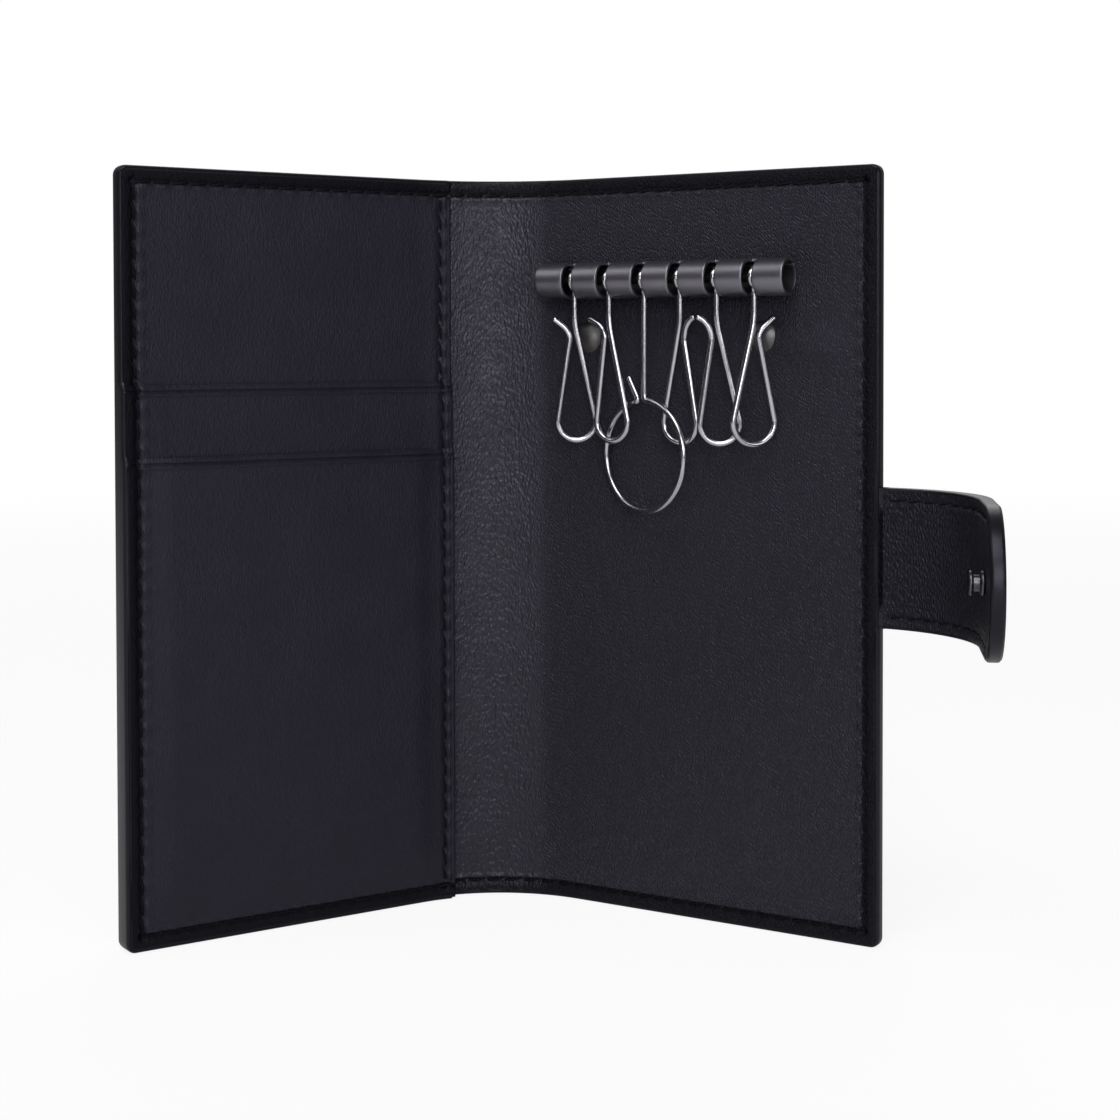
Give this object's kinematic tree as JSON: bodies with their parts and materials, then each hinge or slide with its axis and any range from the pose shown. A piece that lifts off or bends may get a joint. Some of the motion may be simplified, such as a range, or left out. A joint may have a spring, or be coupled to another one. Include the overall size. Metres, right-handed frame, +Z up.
{
  "type": "key case",
  "caption": "Book-style leather key case with a slotted key rail, wire key hooks, a key ring, card pockets and a snap strap.",
  "frame": {"origin": "middle of the lower edge of the back cover's outer leather, on the flat edge that the case stands on", "axes": "+Z up along the covers' height; +X along the back cover's flat part from the spine to its fore-edge; -Y the way the back cover's inner face looks"},
  "size_m": [0.1308, 0.0641, 0.12],
  "materials": {
    "outer_leather": "smooth calf leather, black, with painted edges",
    "grained_lining": "fine-grained nappa, satin, bluish black",
    "smooth_lining": "smooth nappa, satin, bluish black",
    "leather_board": "bonded leather board, raw",
    "gunmetal_plate": "rolled sheet, gunmetal plated, satin",
    "hook_wire": "drawn steel wire, ruthenium plated, polished",
    "snap_metal": "turned and pressed metal, ruthenium plated"
  },
  "bodies": {
    "back_cover": {"back_outer_leather": "outer_leather", "back_board": "leather_board", "back_lining": "grained_lining", "key_rail": "gunmetal_plate", "rail_rod": "hook_wire", "rail_rivets": "snap_metal", "strap_tongue": "outer_leather"},
    "spine": {"spine_outer_leather": "outer_leather", "spine_lining": "grained_lining"},
    "front_cover": {"front_outer_leather": "outer_leather", "front_board": "leather_board", "front_lining": "grained_lining", "card_panel": "smooth_lining", "rear_card_pocket": "smooth_lining", "front_card_pocket": "smooth_lining", "snap_socket": "snap_metal", "socket_washer": "snap_metal"},
    "strap_root": {"strap_root_outer": "outer_leather", "strap_root_lining": "grained_lining"},
    "strap_tip": {"strap_tip_outer": "outer_leather", "strap_tip_lining": "grained_lining", "snap_stud": "snap_metal", "stud_washer": "snap_metal"},
    "key_hook_1": {"hook_1": "hook_wire"},
    "key_hook_2": {"hook_2": "hook_wire"},
    "key_hook_3": {"hook_3": "hook_wire"},
    "key_hook_4": {"hook_4": "hook_wire"},
    "key_hook_5": {"hook_5": "hook_wire"},
    "key_hook_6": {"hook_6": "hook_wire"}
  },
  "joints": [
    {"name": "back_fold", "type": "hinge", "parent": "back_cover", "child": "spine", "pos_m": [-0.03384, -0.00163, 0], "axis": [0, 0, 1], "range_deg": [-29.71, 60.29]},
    {"name": "front_fold", "type": "hinge", "parent": "spine", "child": "front_cover", "pos_m": [-0.04467, -0.00781, 0], "axis": [0, 0, 1], "range_deg": [-35.13, 54.87]},
    {"name": "strap_fold", "type": "hinge", "parent": "back_cover", "child": "strap_root", "pos_m": [0.0282, -0.0008, 0], "axis": [0, 0, -1], "range_deg": [-30, 51.01]},
    {"name": "strap_bend", "type": "hinge", "parent": "strap_root", "child": "strap_tip", "pos_m": [0.04505, -0.00866, 0], "axis": [0, 0, -1], "range_deg": [-25, 62.58]},
    {"name": "hook_1_swing", "type": "hinge", "parent": "back_cover", "child": "key_hook_1", "pos_m": [-0.02475, -0.0055, 0.103], "axis": [1, 0, 0], "range_deg": [-110, 0]},
    {"name": "hook_2_swing", "type": "hinge", "parent": "back_cover", "child": "key_hook_2", "pos_m": [-0.01825, -0.0055, 0.103], "axis": [1, 0, 0], "range_deg": [-110, 0]},
    {"name": "hook_3_swing", "type": "hinge", "parent": "back_cover", "child": "key_hook_3", "pos_m": [-0.01175, -0.0055, 0.103], "axis": [1, 0, 0], "range_deg": [-110, 0]},
    {"name": "hook_4_swing", "type": "hinge", "parent": "back_cover", "child": "key_hook_4", "pos_m": [-0.00525, -0.0055, 0.103], "axis": [1, 0, 0], "range_deg": [-110, 0]},
    {"name": "hook_5_swing", "type": "hinge", "parent": "back_cover", "child": "key_hook_5", "pos_m": [0.00125, -0.0055, 0.103], "axis": [1, 0, 0], "range_deg": [-110, 0]},
    {"name": "hook_6_swing", "type": "hinge", "parent": "back_cover", "child": "key_hook_6", "pos_m": [0.00775, -0.0055, 0.103], "axis": [1, 0, 0], "range_deg": [-110, 0]}
  ],
  "couplings": [
    {"joint": "hook_2_swing", "follows": "hook_3_swing", "ratio": 1},
    {"joint": "hook_4_swing", "follows": "hook_3_swing", "ratio": 1}
  ]
}
